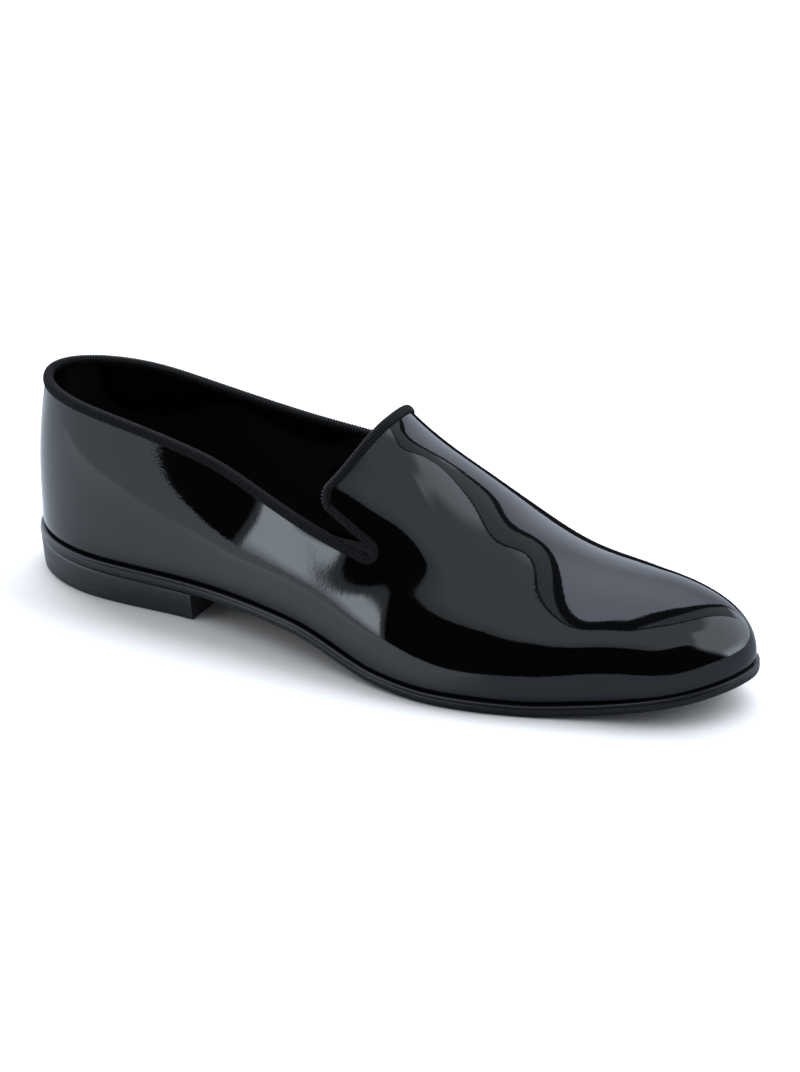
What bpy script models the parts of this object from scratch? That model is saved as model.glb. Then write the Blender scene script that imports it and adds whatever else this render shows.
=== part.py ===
"""Slip-on evening loafer in patent leather, the right shoe, standing empty on its sole.

The shoe lies along X with its toe at +X, its outer (lateral) side at -Y and its inner (medial) side
at +Y. Sizes are in millimetres, x from the back of the heel, and the objects are in metres, with the
floor at z = 0 and the origin under the middle of the shoe.
"""
import bmesh
import bpy
import numpy as np
from mathutils import Vector
from mathutils.bvhtree import BVHTree

MM = 0.001

# Driving dimensions, in millimetres
LAST_LENGTH = 288.0         # back of the heel to the tip of the toe, on the upper
BALL_WIDTH = 92.0           # outer plus inner half width at the ball
INSTEP_HEIGHT = 84.0        # floor to the middle of the tongue's top edge
HEEL_HEIGHT = 12.5          # floor to the sole at the back
TOE_SPRING = 11.3           # floor to the sole at the tip
SOLE_THICKNESS = 4.2
SOLE_MARGIN = 1.3           # how far the sole's edge stands out past the upper
HEEL_BREAST_X = 80.0        # front face of the heel
WALL = 1.6                  # upper and lining together
INSOLE_THICKNESS = 3.0
GAP = 0.3                   # between pieces that are glued or sewn together

# Shape of the upper
TIP_Y = 2.7                 # the tip leans to the inner side
TOE_LENGTH = 39.0           # length over which the vamp rounds down to the tip
TOE_POWER = 2.4             # squareness of that rounding
TUCK = 1.5                  # how far the wall is drawn in where it meets the sole
TUCK_HEIGHT = 6.0
HEEL_LEAN = 5.0             # how far the back leans forward at its top
HEEL_LEAN_FROM = 34.0       # height where that lean starts
HEEL_LEAN_REACH = 75.0      # length of the heel that leans
SWELL_FROM = 3.0            # heights over the sole between which the inner side swells out
SWELL_TO = 34.0
LEAN_FULL = 0.68            # share of the way up to the ridge where the outer side's lean is full

# Cut of the top edge, in side view
TONGUE_X = 149.2                   # middle of the tongue's top edge
TONGUE_CORNER = {-1: (130.9, 57.1), 1: (139.6, 70.5)}   # its outer and inner corner, before rounding
TONGUE_RADIUS = 5.0
NOTCH_APEX = {-1: (170.2, 40.8), 1: (173.5, 54.0)}      # where the edges of each notch would meet
NOTCH_RADIUS = 1.9
NOTCH_STRAIGHT = 30.0              # straight run of the quarter's edge behind that point

# Ribbon folded over the top edge
RIBBON = 0.45               # thickness
RIBBON_OUTSIDE = 2.5        # width that shows on the outside
RIBBON_INSIDE = 2.5
RIBBON_EASE = 0.44          # room between the folded ribbon and the wall inside it
RIBBON_ROUND = (0.20, 0.75)  # shoulder of the fold, as shares of the ease and thickness, out and up

# Fineness of the meshes
STATIONS = 46               # sections of the upper, sole and insole from heel to toe
SIDE_ROWS = 15              # rows of a hoop from sole to ridge
ROW_CROWDING = 1.3          # rows lie closer together near the sole
RIBBON_COLUMNS = 50         # sections of the ribbon on one side
TURN_WEIGHT = 9.0           # millimetres of edge that one radian of turning counts for
HEEL_STATIONS = 14
FINE = 240                  # samples along a curve before it is divided
CUTTER_HALF_WIDTH = 70.0
CUTTER_TOP = 140.0
CUTTER_OVERLAP = 0.05       # how far the two sides' cutters overlap at the ridge
WELD = 0.01                 # points closer than this are one point
SHARP_ANGLE = 35.0          # edges that turn more than this are drawn sharp
TINY = 1e-6


def table(columns, *rows):
    """A short table, as a dictionary of its columns by name."""
    return dict(zip(columns.split(), np.array(rows, float).T))


# Half widths in plan, as shares of the ball width, at stations that are shares of the length
OUTER_PLAN = table(
    "station width",
    (0.028, 0.185), (0.104, 0.307), (0.191, 0.325), (0.278, 0.322), (0.382, 0.360),
    (0.521, 0.455), (0.642, 0.515), (0.764, 0.445), (0.868, 0.334), (0.955, 0.222))
INNER_PLAN = table(
    "station width",
    (0.028, 0.185), (0.104, 0.309), (0.191, 0.326), (0.278, 0.310), (0.382, 0.294),
    (0.521, 0.354), (0.642, 0.463), (0.719, 0.487), (0.816, 0.418), (0.868, 0.343), (0.955, 0.212))

# Ridge of the last: its height as a share of the instep height, its lean to the inner side as a
# share of the ball width, and the powers of the rounded section under it on both sides. Behind the
# tongue the ridge is only what the sides of the opening lean towards.
RIDGE = table(
    "station height lean outer_power inner_power",
    (0.000, 1.333, 0.000, 2.20, 2.20), (0.208, 1.333, 0.012, 2.30, 2.40), (0.347, 1.321, 0.020, 2.20, 2.60),
    (0.424, 1.250, -0.030, 2.00, 2.85), (0.521, 0.990, -0.045, 2.00, 2.60),
    (0.625, 0.757, -0.024, 2.00, 2.25), (0.729, 0.554, -0.012, 2.08, 2.08),
    (0.833, 0.497, 0.004, 2.12, 2.12), (1.000, 0.467, 0.030, 2.30, 2.30))

# Inner side over the arch: how far it swells out past the sole, in millimetres
SWELL = table(
    "station out",
    (0.000, 0.0), (0.139, -1.2), (0.220, -1.6), (0.278, -1.0), (0.340, 0.8), (0.400, 2.6), (0.470, 3.2),
    (0.540, 1.4), (0.640, 0.3), (0.720, 0.0), (1.000, 0.0))

# Outer side from heel to ball: how far its top leans in, in millimetres, most behind the notch
LEAN_IN = table(
    "station most",
    (0.00, 0.0), (0.14, 4.0), (0.28, 9.0), (0.38, 13.0), (0.50, 8.5), (0.60, 5.5), (0.70, 1.5), (0.80, 0.0),
    (1.00, 0.0))

# Underside of the sole: its height as shares of the heel height and of the toe spring
SOLE_LINE = table(
    "station heel toe",
    (0.000, 1.00, 0.00), (0.139, 0.95, 0.00), (0.278, 0.87, 0.00), (0.434, 0.72, 0.00),
    (0.573, 0.09, 0.00), (0.653, 0.00, 0.00), (0.757, 0.00, 0.00), (0.833, 0.00, 0.14),
    (1.000, 0.00, 1.00))

# Top edge of the quarters on the outer and on the inner side, height in millimetres
QUARTER_LINE = table(
    "station outer inner",
    (0.000, 77.0, 77.0), (0.139, 72.3, 72.3), (0.278, 63.2, 67.2), (0.387, 52.7, 62.6),
    (0.451, 48.4, 60.0), (0.510, 45.1, 57.6), (0.602, 40.8, 54.0))

# Edge of the sole, from the floor up: how far in, and how high up as a share of the thickness
SOLE_EDGE = table(
    "inset share",
    (0.7, 0.00), (0.15, 0.09), (0.0, 0.24), (0.0, 0.62), (0.5, 0.69), (0.1, 0.76), (0.1, 0.90), (0.7, 1.00))
# Side of the heel, from the floor up
HEEL_SIDE = table("inset share", (1.5, 0.00), (1.0, 0.05), (0.5, 0.55), (0.15, 0.94), (0.6, 1.00))
# Side of the insole, from the sole up
INSOLE_SIDE = table("inset share", (0.0, 0.00), (0.0, 0.75), (0.6, 1.00))


def smooth(knots, values, closed=False):
    """Cubic spline through the values, natural at its ends or closed into a loop."""
    knots = np.asarray(knots, float)
    values = np.asarray(values, float).reshape(len(knots), -1)
    step = np.diff(knots)
    slope = np.diff(values, axis=0) / step[:, None]
    last = len(step)
    matrix = np.eye(last + 1)
    right = np.zeros_like(values)
    for i in range(1, last):
        matrix[i, i - 1:i + 2] = step[i - 1], 2 * (step[i - 1] + step[i]), step[i]
        right[i] = 6 * (slope[i] - slope[i - 1])
    if closed:
        matrix[0, [0, 1, last - 1]] = 2 * (step[-1] + step[0]), step[0], step[-1]
        right[0] = 6 * (slope[0] - slope[-1])
        matrix[last, 0] = -1
    bend = np.linalg.solve(matrix, right)

    def at(t):
        t = np.clip(np.asarray(t, float), knots[0], knots[-1])
        i = np.clip(np.searchsorted(knots, t, side="right") - 1, 0, last - 1)
        h = step[i][..., None]
        b = (t - knots[i])[..., None] / h
        a = 1 - b
        cubic = ((a ** 3 - a) * bend[i] + (b ** 3 - b) * bend[i + 1]) * h ** 2 / 6
        result = a * values[i] + b * values[i + 1] + cubic
        return result[..., 0] if values.shape[1] == 1 else result
    return at


def ease(share):
    """Smooth step from 0 to 1."""
    share = np.clip(share, 0, 1)
    return share * share * (3 - 2 * share)


def steady(knots, values):
    """Curve through the values that never overshoots them, and is flat between equal ones."""
    knots = np.asarray(knots, float)
    values = np.asarray(values, float)
    step = np.diff(knots)
    slope = np.diff(values) / step
    rate = np.r_[slope[0], np.zeros(len(step) - 1), slope[-1]]
    for i in range(1, len(step)):
        if slope[i - 1] * slope[i] > 0:
            near = 2 * step[i] + step[i - 1]
            far = step[i] + 2 * step[i - 1]
            rate[i] = (near + far) / (near / slope[i - 1] + far / slope[i])

    def at(x):
        x = np.clip(np.asarray(x, float), knots[0], knots[-1])
        i = np.clip(np.searchsorted(knots, x, side="right") - 1, 0, len(step) - 1)
        t = (x - knots[i]) / step[i]
        rise = values[i + 1] - values[i]
        bow = step[i] * t * (1 - t) * (rate[i] * (1 - t) - rate[i + 1] * t)
        return values[i] + rise * ease(t) + bow
    return at


def along(points):
    """Length from the start of a run of points to each of them."""
    return np.r_[0, np.cumsum(np.linalg.norm(np.diff(points, axis=0), axis=1))]


def divided(points, lengths):
    """Points at the given lengths along a run of points."""
    run = along(points)
    return np.stack([np.interp(lengths, run, axis) for axis in np.transpose(points)], axis=-1)


# Plan outline of the upper, a loop from the heel by the outer side to the tip and back
def plan_loop():
    outer = zip(OUTER_PLAN["station"] * LAST_LENGTH, -OUTER_PLAN["width"] * BALL_WIDTH)
    inner = zip(INNER_PLAN["station"] * LAST_LENGTH, INNER_PLAN["width"] * BALL_WIDTH)
    corners = [(0.0, 0.0), *outer, (LAST_LENGTH, TIP_Y), *reversed(list(inner)), (0.0, 0.0)]
    chord = np.linalg.norm(np.diff(corners, axis=0), axis=1)
    knots = np.r_[0, np.cumsum(np.sqrt(chord))]
    loop = smooth(knots, corners, closed=True)(np.linspace(0, knots[-1], 8 * FINE))[:-1]
    loop = np.roll(loop, -np.argmin(loop[:, 0]), axis=0)
    tip = np.argmax(loop[:, 0])
    return loop[:tip + 1], np.vstack([loop[tip:], loop[:1]])[::-1]


OUTER, INNER = plan_loop()          # each from the heel to the tip
HEEL_X, TIP_X = OUTER[0, 0], OUTER[-1, 0]
SIDES = {-1: OUTER, 1: INNER}

ridge_height = smooth(RIDGE["station"] * LAST_LENGTH, RIDGE["height"] * INSTEP_HEIGHT)
ridge_lean = smooth(RIDGE["station"] * LAST_LENGTH, RIDGE["lean"] * BALL_WIDTH)
section_power = {
    -1: smooth(RIDGE["station"] * LAST_LENGTH, RIDGE["outer_power"]),
    1: smooth(RIDGE["station"] * LAST_LENGTH, RIDGE["inner_power"])}
sole_under = steady(
    SOLE_LINE["station"] * LAST_LENGTH, SOLE_LINE["heel"] * HEEL_HEIGHT + SOLE_LINE["toe"] * TOE_SPRING)
quarter_height = {
    -1: steady(QUARTER_LINE["station"] * LAST_LENGTH, QUARTER_LINE["outer"]),
    1: steady(QUARTER_LINE["station"] * LAST_LENGTH, QUARTER_LINE["inner"])}
swell_out = smooth(SWELL["station"] * LAST_LENGTH, SWELL["out"])
lean_in = smooth(LEAN_IN["station"] * LAST_LENGTH, LEAN_IN["most"])


def feather(x):
    """Height of the upper's lower edge."""
    return sole_under(x) + SOLE_THICKNESS + GAP


def half_width(x, z, side):
    """Half width of the last from its ridge, before the section rounds it off, at a height."""
    edge = np.interp(x, SIDES[side][:, 0], SIDES[side][:, 1])
    half = np.maximum(side * (edge - ridge_lean(x)), TINY)
    if side < 0:
        share = (z - feather(x)) / np.maximum(crown(x), TINY)
        return half - lean_in(x) * ease(share / LEAN_FULL)
    return half + swell_out(x) * ease((z - feather(x) - SWELL_FROM) / (SWELL_TO - SWELL_FROM))


def crown(x):
    """Height of the ridge over the feather, rounded down to nothing at the tip."""
    back = np.clip((TIP_X - x) / TOE_LENGTH, 0, 1)
    rounding = (1 - (1 - back) ** TOE_POWER) ** (1 / TOE_POWER)
    return (ridge_height(x) - feather(x)) * rounding


def wall_at(x, z, side):
    """Distance across, at a length and a height, of the last's outer or inner side."""
    share = np.clip((z - feather(x)) / crown(x), 0, 1)
    power = section_power[side](x)
    return ridge_lean(x) + side * half_width(x, z, side) * (1 - share ** power) ** (1 / power)


def drawn_in(points, outward):
    """Points of the plain last, drawn in at the sole and leant forward at the top of the heel."""
    x, y, z = np.transpose(points)
    low = np.clip(1 - (z - feather(x)) / TUCK_HEIGHT, 0, 1)
    draw = TUCK * low ** 2
    high = np.clip((z - HEEL_LEAN_FROM) / (QUARTER_LINE["outer"][0] - HEEL_LEAN_FROM), 0, None)
    near_heel = np.clip(1 - x / HEEL_LEAN_REACH, 0, 1)
    lean = HEEL_LEAN * high ** 2 * near_heel ** 2
    return np.stack([x - outward[:, 0] * draw + lean, y - outward[:, 1] * draw, z], axis=-1)


def fillet(start, corner, end, radius, steps=12):
    """Arc that rounds a corner between two straight lines in a plane."""
    to_start = (start - corner) / np.linalg.norm(start - corner)
    to_end = (end - corner) / np.linalg.norm(end - corner)
    half = np.arccos(np.clip(to_start @ to_end, -1, 1)) / 2
    middle = (to_start + to_end) / np.linalg.norm(to_start + to_end)
    centre = corner + middle * radius / np.sin(half)
    sweep = np.linspace(-1, 1, steps) * (np.pi / 2 - half)
    across = (to_end - middle * np.cos(half)) / np.sin(half)
    return centre + radius * (-np.outer(np.cos(sweep), middle) + np.outer(np.sin(sweep), across))


def weighted(points):
    """Length along an edge, with each turn counted as extra length."""
    heading = np.diff(points, axis=0)
    heading = heading / np.maximum(np.linalg.norm(heading, axis=1), TINY)[:, None]
    turn = np.arccos(np.clip(np.sum(heading[1:] * heading[:-1], axis=1), -1, 1))
    return along(points) + TURN_WEIGHT * np.r_[0, np.cumsum(turn), np.sum(turn)]


def opening_cut(side):
    """Side view of one side's top edge, from the tongue's middle by the notch to the back of the heel."""
    top = np.array([TONGUE_X, ridge_height(TONGUE_X)])
    corner = np.array(TONGUE_CORNER[side])
    apex = np.array(NOTCH_APEX[side])
    behind_x = apex[0] - NOTCH_STRAIGHT
    behind = np.array([behind_x, quarter_height[side](behind_x)])
    corner_arc = fillet(top, corner, apex, TONGUE_RADIUS)
    notch_arc = fillet(corner, apex, behind, NOTCH_RADIUS)
    # the first run is crowded at the ridge, where the section is level
    down = np.linspace(0, 1, FINE)[:, None] ** 3
    sweep = np.linspace(np.pi / 2, 0, FINE)
    x = HEEL_X + (behind_x - HEEL_X) * (1 - np.cos(sweep))
    quarter = np.stack([x, quarter_height[side](x)], axis=-1)
    return np.vstack([top + (corner_arc[0] - top) * down, corner_arc[1:], notch_arc, quarter])


def top_edge(side):
    """Top edge on one side, divided for the ribbon."""
    x, z = opening_cut(side).T
    edge = np.stack([x, wall_at(x, z, side), z], axis=-1)
    edge = drawn_in(edge, np.zeros((len(edge), 2)))
    length = weighted(edge)
    steps = np.linspace(0, length[-1], RIBBON_COLUMNS + 1)
    return np.stack([np.interp(steps, length, axis) for axis in edge.T], axis=-1)


def outward_at(side, x):
    """Plan direction out of the shoe at lengths on one side's outline, straight at both ends."""
    outline = SIDES[side]
    run = np.interp(x, outline[:, 0], along(outline))
    ahead = divided(outline, run + 0.5) - divided(outline, run - 0.5)
    ahead = ahead / np.linalg.norm(ahead, axis=1)[:, None]
    outward = side * np.stack([-ahead[:, 1], ahead[:, 0]], axis=-1)
    outward[x <= HEEL_X] = (-1, 0)
    outward[x >= TIP_X] = (1, 0)
    return outward


def round_stations():
    """Lengths of stations from heel to tip, crowded at both round ends."""
    return HEEL_X + (TIP_X - HEEL_X) * (1 - np.cos(np.linspace(0, np.pi, STATIONS + 1))) / 2


def hoop(x, share):
    """Section of the last at one length, from the outer side over the ridge to the inner side."""
    angle = np.linspace(0, np.pi, 2 * FINE + 1)
    side = np.where(angle < np.pi / 2, -1, 1)
    power = 2 / np.where(side < 0, section_power[-1](x), section_power[1](x))
    z = feather(x) + crown(x) * np.abs(np.sin(angle)) ** power
    half = np.where(side < 0, half_width(x, z, -1), half_width(x, z, 1))
    y = ridge_lean(x) + side * half * np.abs(np.cos(angle)) ** power
    where = np.array([x])
    outward = np.where(side[:, None] < 0, outward_at(-1, where), outward_at(1, where))
    path = drawn_in(np.stack([np.full_like(y, x), y, z], axis=-1), outward)
    return divided(path, share * along(path)[-1])


def upper_skin():
    """Outer skin of the whole last, as hoops from heel to toe."""
    rise = (np.arange(SIDE_ROWS + 1) / SIDE_ROWS) ** ROW_CROWDING / 2
    share = np.r_[rise, 1 - rise[-2::-1]]
    hoops = np.array([hoop(x, share) for x in round_stations()])
    stations, columns, _ = hoops.shape
    faces = [(s * columns + c, (s + 1) * columns + c, (s + 1) * columns + c + 1, s * columns + c + 1)
             for s in range(stations - 1) for c in range(columns - 1)]
    mesh = open_mesh("upper", hoops.reshape(-1, 3), faces)
    work = bmesh.new()
    work.from_mesh(mesh)
    bmesh.ops.remove_doubles(work, verts=work.verts, dist=WELD * MM)
    work.to_mesh(mesh)
    work.free()
    return mesh


def opening_cutter(edge, side):
    """Block that cuts one side of the opening: the side view of its edge, drawn out from the ridge."""
    back = edge[-1, 0] - CUTTER_HALF_WIDTH
    sky = [(back, edge[-1, 2]), (back, CUTTER_TOP), (edge[0, 0] + CUTTER_TOP - edge[0, 2], CUTTER_TOP)]
    rim = [(x, z) for x, _, z in edge]
    work = bmesh.new()
    middle = edge[0, 1] - side * CUTTER_OVERLAP
    start = work.faces.new([work.verts.new((x * MM, middle * MM, z * MM)) for x, z in rim + sky])
    moved = bmesh.ops.extrude_face_region(work, geom=[start])["geom"]
    far = [v for v in moved if isinstance(v, bmesh.types.BMVert)]
    bmesh.ops.translate(work, verts=far, vec=(0, side * CUTTER_HALF_WIDTH * MM, 0))
    bmesh.ops.recalc_face_normals(work, faces=work.faces)
    mesh = bpy.data.meshes.new("opening_cutter")
    work.to_mesh(mesh)
    work.free()
    return mesh


def open_mesh(name, points, faces):
    """Mesh from points in millimetres."""
    mesh = bpy.data.meshes.new(name)
    mesh.from_pydata([tuple(p * MM) for p in points], [], faces)
    return mesh


def closed_mesh(name, points, faces):
    """Mesh of a solid from points in millimetres, with its faces turned out."""
    mesh = open_mesh(name, points, faces)
    work = bmesh.new()
    work.from_mesh(mesh)
    bmesh.ops.recalc_face_normals(work, faces=work.faces)
    work.to_mesh(mesh)
    work.free()
    return mesh


def add_object(name, mesh, material, collection):
    piece = bpy.data.objects.new(name, mesh)
    mesh.materials.append(material)
    mesh.shade_smooth()
    mesh.set_sharp_from_angle(angle=np.radians(SHARP_ANGLE))
    collection.objects.link(piece)
    return piece


def material(name, colour, roughness):
    """Plain finish of one piece."""
    finish = bpy.data.materials.new(name)
    finish.use_nodes = True
    shader = finish.node_tree.nodes["Principled BSDF"]
    shader.inputs["Base Color"].default_value = (*colour, 1)
    shader.inputs["Roughness"].default_value = roughness
    shader.inputs["Metallic"].default_value = 0
    return finish


def strips(rows, columns, closed_rows=False):
    """Faces between neighbouring rows of a grid whose rows are closed loops."""
    last = rows if closed_rows else rows - 1
    return [(k * columns + i, k * columns + (i + 1) % columns,
             (k + 1) % rows * columns + (i + 1) % columns, (k + 1) % rows * columns + i)
            for k in range(last) for i in range(columns)]


def cap(start, count):
    """Faces across a loop that runs from one end by one side to the other end and back."""
    faces = []
    for i in range((count + 1) // 2):
        corners = (i, i + 1, count - i - 1, (count - i) % count)
        face = list(dict.fromkeys(corners))
        if len(face) > 2:
            faces.append([start + corner for corner in face])
    return faces


def ring_solid(name, rings):
    """Closed solid through loops of points, one over the other, with both ends capped."""
    rows, columns, _ = rings.shape
    faces = strips(rows, columns) + cap(0, columns) + cap((rows - 1) * columns, columns)
    return closed_mesh(name, rings.reshape(-1, 3), faces)


def plan_ring(x):
    """Loop of the upper's outline at the given lengths, out by the outer side and back by the inner,
    with the direction out of it at each point. The ends are shared where the outline closes."""
    points = {}
    for side, outline in SIDES.items():
        points[side] = np.column_stack([x, np.interp(x, outline[:, 0], outline[:, 1])])
    back = slice(-2 if x[-1] >= TIP_X else None, 0, -1)
    return (np.vstack([points[-1], points[1][back]]),
            np.vstack([outward_at(-1, x), outward_at(1, x)[back]]))


def build_outsole():
    plan, outward = plan_ring(round_stations())
    rings = []
    for inset, share in zip(SOLE_EDGE["inset"], SOLE_EDGE["share"]):
        ring = plan + outward * (SOLE_MARGIN - inset)
        rings.append(np.column_stack([ring, sole_under(ring[:, 0]) + share * SOLE_THICKNESS]))
    return ring_solid("outsole", np.array(rings))


def build_heel():
    sweep = np.linspace(0, np.pi / 2, HEEL_STATIONS + 1)
    plan, outward = plan_ring(HEEL_X + (HEEL_BREAST_X - HEEL_X) * (1 - np.cos(sweep)))
    rings = []
    for inset, share in zip(HEEL_SIDE["inset"], HEEL_SIDE["share"]):
        ring = plan + outward * (SOLE_MARGIN - inset)
        ring[HEEL_STATIONS:HEEL_STATIONS + 2, 0] = HEEL_BREAST_X
        rings.append(np.column_stack([ring, share * (sole_under(ring[:, 0]) - GAP)]))
    return ring_solid("heel", np.array(rings))


def build_insole():
    plan, outward = plan_ring(round_stations())
    inside = TUCK + WALL + GAP
    rings = []
    for inset, share in zip(INSOLE_SIDE["inset"], INSOLE_SIDE["share"]):
        ring = plan - outward * (inside + inset)
        rings.append(np.column_stack([ring, feather(ring[:, 0]) + share * INSOLE_THICKNESS]))
    return ring_solid("insole", np.array(rings))


def ribbon_profile():
    """Section of the folded ribbon: how far out of the skin each corner is, and how far down it."""
    ease = RIBBON_EASE
    thick = RIBBON_EASE + RIBBON
    out, up = (share * thick for share in RIBBON_ROUND)
    return [
        (thick, "low"), (thick, "middle"), (thick, 0.0), (out, -up), (-WALL / 2, -thick),
        (-WALL - out, -up), (-WALL - thick, 0.0), (-WALL - thick, "inside"),
        (-WALL - ease, "inside"), (-WALL - ease, -ease), (ease, -ease), (ease, "middle"), (ease, "low")]


def build_binding(edges, skin):
    """Ribbon folded over the top edge, from the tongue's middle round the shoe and back to it."""
    edge = np.vstack([edges[-1], edges[1][-2:0:-1]])

    def on_skin(points):
        found = [skin.find_nearest(Vector(p * MM)) for p in points]
        return np.array([f[0] for f in found]) / MM, np.array([f[1] for f in found])

    def unit(vectors):
        return vectors / np.linalg.norm(vectors, axis=1)[:, None]

    def dot(a, b):
        return np.sum(a * b, axis=1)[:, None]

    ahead = unit(np.roll(edge, -1, axis=0) - np.roll(edge, 1, axis=0))
    normal = on_skin(edge)[1]
    normal = unit(normal + np.roll(normal, 1, axis=0) + np.roll(normal, -1, axis=0))
    normal = unit(normal - ahead * dot(normal, ahead))
    down = np.cross(normal, ahead)
    # the rim is cut straight across the shoe, so its inner edge lies a little above or below
    side_view = np.gradient(edge, axis=0) * (1, 0, 1)
    side_view[0] = side_view[1] * (1, 0, 1)
    rim = np.cross(ahead, np.cross((0, 1, 0), side_view))
    tilt = -dot(rim, down) / dot(rim, normal)
    runs = {
        "low": on_skin(edge + down * RIBBON_OUTSIDE)[0],
        "middle": on_skin(edge + down * RIBBON_OUTSIDE / 2)[0],
        "inside": on_skin(edge + down * RIBBON_INSIDE)[0]}
    rings = []
    for out, where in ribbon_profile():
        if where in runs:
            base = runs[where]
        else:
            base = edge + down * (where + tilt * np.clip(-out, 0, WALL))
        rings.append(base + normal * out)
    return closed_mesh("topline_binding", np.array(rings).reshape(-1, 3),
                       strips(len(rings), len(edge), closed_rows=True))


def main():
    for old in list(bpy.data.objects):
        bpy.data.objects.remove(old, do_unlink=True)
    shoe = bpy.data.collections.new("patent_leather_loafer")
    cutters = bpy.data.collections.new("cutters")
    for collection in (shoe, cutters):
        bpy.context.scene.collection.children.link(collection)

    patent = material("patent_leather", (0.006, 0.006, 0.008), 0.08)
    ribbon = material("grosgrain_ribbon", (0.012, 0.012, 0.014), 0.75)
    sole_leather = material("sole_leather", (0.014, 0.014, 0.016), 0.4)
    heel_leather = material("heel_leather", (0.012, 0.012, 0.014), 0.4)
    sock = material("sock_leather", (0.010, 0.010, 0.011), 0.6)

    skin_mesh = upper_skin()
    skin = BVHTree.FromPolygons(
        [v.co for v in skin_mesh.vertices], [p.vertices for p in skin_mesh.polygons])
    edges = {side: top_edge(side) for side in SIDES}
    upper = add_object("upper", skin_mesh, patent, shoe)
    shell = upper.modifiers.new("wall", "SOLIDIFY")
    shell.thickness = WALL * MM
    shell.offset = -1
    pieces = [upper]
    for side, name in ((-1, "outer_opening"), (1, "inner_opening")):
        cutter = bpy.data.objects.new(name, opening_cutter(edges[side], side))
        cutters.objects.link(cutter)
        cutter.hide_render = True
        cutter.display_type = "WIRE"
        cut = upper.modifiers.new(name, "BOOLEAN")
        cut.object = cutter
        pieces.append(cutter)

    pieces += [
        add_object("topline_binding", build_binding(edges, skin), ribbon, shoe),
        add_object("outsole", build_outsole(), sole_leather, shoe),
        add_object("heel", build_heel(), heel_leather, shoe),
        add_object("insole", build_insole(), sock, shoe)]

    # the origin is under the middle of the shoe's box
    sole = bpy.data.objects["outsole"].data.vertices
    middle = [(min(v.co[i] for v in sole) + max(v.co[i] for v in sole)) / 2 for i in (0, 1)]
    for piece in pieces:
        piece.location = (-middle[0], -middle[1], 0)


main()
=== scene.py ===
# %% [markdown]
# A black patent leather evening loafer, the right shoe of a pair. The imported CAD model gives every
# size and place, so it is loaded first and never moved. The pieces below are finer versions of its
# solids, made from the same few tables, and each one then stands for its CAD node. The lining is an
# extra piece inside the upper.

import bmesh
import bpy
import numpy as np
from mathutils import Matrix, Vector
from mathutils.bvhtree import BVHTree


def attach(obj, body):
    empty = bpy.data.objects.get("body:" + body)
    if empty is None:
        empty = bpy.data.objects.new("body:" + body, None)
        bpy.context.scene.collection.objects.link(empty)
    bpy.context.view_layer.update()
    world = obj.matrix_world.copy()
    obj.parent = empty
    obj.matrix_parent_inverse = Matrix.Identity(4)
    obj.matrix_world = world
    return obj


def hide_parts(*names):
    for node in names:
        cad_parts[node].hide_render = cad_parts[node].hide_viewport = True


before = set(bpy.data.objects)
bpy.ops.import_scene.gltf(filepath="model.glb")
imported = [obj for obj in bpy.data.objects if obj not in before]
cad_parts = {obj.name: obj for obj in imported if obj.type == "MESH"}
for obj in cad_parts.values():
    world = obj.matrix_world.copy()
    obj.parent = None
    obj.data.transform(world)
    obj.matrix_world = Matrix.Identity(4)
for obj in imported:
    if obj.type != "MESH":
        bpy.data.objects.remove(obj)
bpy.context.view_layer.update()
MM = 0.001
print("nodes:", sorted(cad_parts))

# %% [markdown]
# The shape of a shoe is the shape of its last, the form it is made on. A last could be sculpted, but
# a shoemaker describes it by short tables: half widths in plan, the height of the ridge and the
# roundness of each section. Curves through those few numbers give a surface as smooth as lacquer
# needs. Sizes are in millimetres, x from the back of the heel, and ORIGIN moves them to the frame.

# %% Curves through short tables
ORIGIN = np.array([144.01, -1.17, 0.0])
LENGTH = 288.0
BALL_WIDTH = 92.0
INSTEP = 84.0


def table(columns, *rows):
    return dict(zip(columns.split(), np.array(rows, float).T))


def smooth(knots, values, closed=False):
    """Cubic spline through the values, natural at its ends or closed into a loop."""
    knots = np.asarray(knots, float)
    values = np.asarray(values, float).reshape(len(knots), -1)
    step = np.diff(knots)
    slope = np.diff(values, axis=0) / step[:, None]
    last = len(step)
    matrix = np.eye(last + 1)
    right = np.zeros_like(values)
    for i in range(1, last):
        matrix[i, i - 1:i + 2] = step[i - 1], 2 * (step[i - 1] + step[i]), step[i]
        right[i] = 6 * (slope[i] - slope[i - 1])
    if closed:
        matrix[0, [0, 1, last - 1]] = 2 * (step[-1] + step[0]), step[0], step[-1]
        right[0] = 6 * (slope[0] - slope[-1])
        matrix[last, 0] = -1
    bend = np.linalg.solve(matrix, right)

    def at(t):
        t = np.clip(np.asarray(t, float), knots[0], knots[-1])
        i = np.clip(np.searchsorted(knots, t, side="right") - 1, 0, last - 1)
        h = step[i][..., None]
        b = (t - knots[i])[..., None] / h
        a = 1 - b
        cubic = ((a ** 3 - a) * bend[i] + (b ** 3 - b) * bend[i + 1]) * h ** 2 / 6
        result = a * values[i] + b * values[i + 1] + cubic
        return result[..., 0] if values.shape[1] == 1 else result
    return at


def ease(share):
    """Smooth step from 0 to 1."""
    share = np.clip(share, 0, 1)
    return share * share * (3 - 2 * share)


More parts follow.
